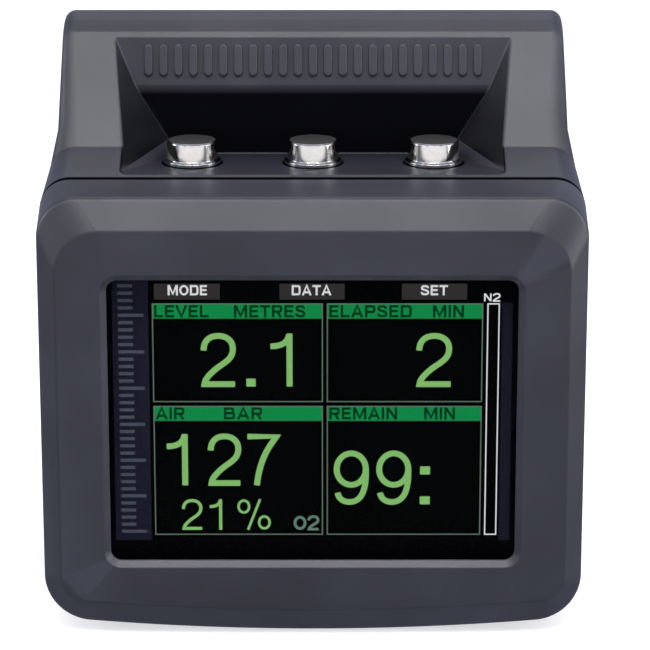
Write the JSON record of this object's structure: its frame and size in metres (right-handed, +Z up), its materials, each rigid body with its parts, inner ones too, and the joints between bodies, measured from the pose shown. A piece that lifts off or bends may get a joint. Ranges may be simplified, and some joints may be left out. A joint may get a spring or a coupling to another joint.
{
  "type": "wrist dive computer",
  "caption": "Wrist dive computer: chamfered bezel and window over a lit display, hooded pocket with steel push buttons, hollow back with strap lugs and rear cover.",
  "frame": {"origin": "bottom centre of the whole unit, on the surface it stands on", "axes": "+Z up towards the push buttons, display facing -Y, +Y towards the wrist, +X to the wearer's right when reading the display"},
  "size_m": [0.071, 0.038, 0.0771],
  "materials": {
    "case_plastic": "fine moulded texture",
    "window_glass": "polished",
    "seal_rubber": "matt",
    "button_steel": "polished stainless steel",
    "hardware_steel": "satin stainless steel",
    "guide_plastic": "natural acetal",
    "display": "lit colour display",
    "backlight_white": "diffusing film",
    "inner_plastic": "glass-filled",
    "board_green": "solder mask",
    "chip_black": "moulded",
    "shield_tin": "tinned sheet",
    "flex_amber": "polyimide film",
    "battery_foil": "laminated foil",
    "foam": "adhesive foam",
    "contact_gold": "gold plated"
  },
  "bodies": {
    "housing": {"front_bezel": "case_plastic", "rear_housing": "case_plastic", "rear_cover": "case_plastic", "bezel_window": "window_glass", "window_gasket": "seal_rubber", "main_seal": "seal_rubber", "rear_cover_gasket": "seal_rubber", "rear_cover_screws": "hardware_steel", "case_screws": "hardware_steel", "pressure_sensor": "hardware_steel", "pressure_sensor_oring": "seal_rubber", "pressure_port_grille": "hardware_steel", "contact_insulator": "inner_plastic", "charge_contacts": "contact_gold", "piezo_sounder": "contact_gold", "lcd_panel": "display", "backlight": "backlight_white", "lcd_frame": "inner_plastic", "main_board": "board_green", "board_components": "chip_black", "board_shield": "shield_tin", "inner_chassis": "inner_plastic", "chassis_screws": "hardware_steel", "battery_pad": "foam", "battery_cell": "battery_foil", "button_board": "board_green", "button_board_screws": "hardware_steel", "tact_switches": "chip_black", "display_flex": "flex_amber", "button_flex": "flex_amber", "button_guide_left": "guide_plastic", "button_spring_left": "hardware_steel", "button_guide_middle": "guide_plastic", "button_spring_middle": "hardware_steel", "button_guide_right": "guide_plastic", "button_spring_right": "hardware_steel"},
    "button_left": {"button_cap_left": "button_steel", "button_oring_left": "seal_rubber", "button_clip_left": "hardware_steel"},
    "button_middle": {"button_cap_middle": "button_steel", "button_oring_middle": "seal_rubber", "button_clip_middle": "hardware_steel"},
    "button_right": {"button_cap_right": "button_steel", "button_oring_right": "seal_rubber", "button_clip_right": "hardware_steel"}
  },
  "joints": [
    {"name": "button_left_press", "type": "slide", "parent": "housing", "child": "button_left", "axis": [0, 0, -1], "range_m": [0, 0.0011], "stiffness_N_per_m": 1200, "springref_m": -0.0008, "deforming": ["button_spring_left"]},
    {"name": "button_middle_press", "type": "slide", "parent": "housing", "child": "button_middle", "axis": [0, 0, -1], "range_m": [0, 0.0011], "stiffness_N_per_m": 1200, "springref_m": -0.0008, "deforming": ["button_spring_middle"]},
    {"name": "button_right_press", "type": "slide", "parent": "housing", "child": "button_right", "axis": [0, 0, -1], "range_m": [0, 0.0011], "stiffness_N_per_m": 1200, "springref_m": -0.0008, "deforming": ["button_spring_right"]}
  ]
}
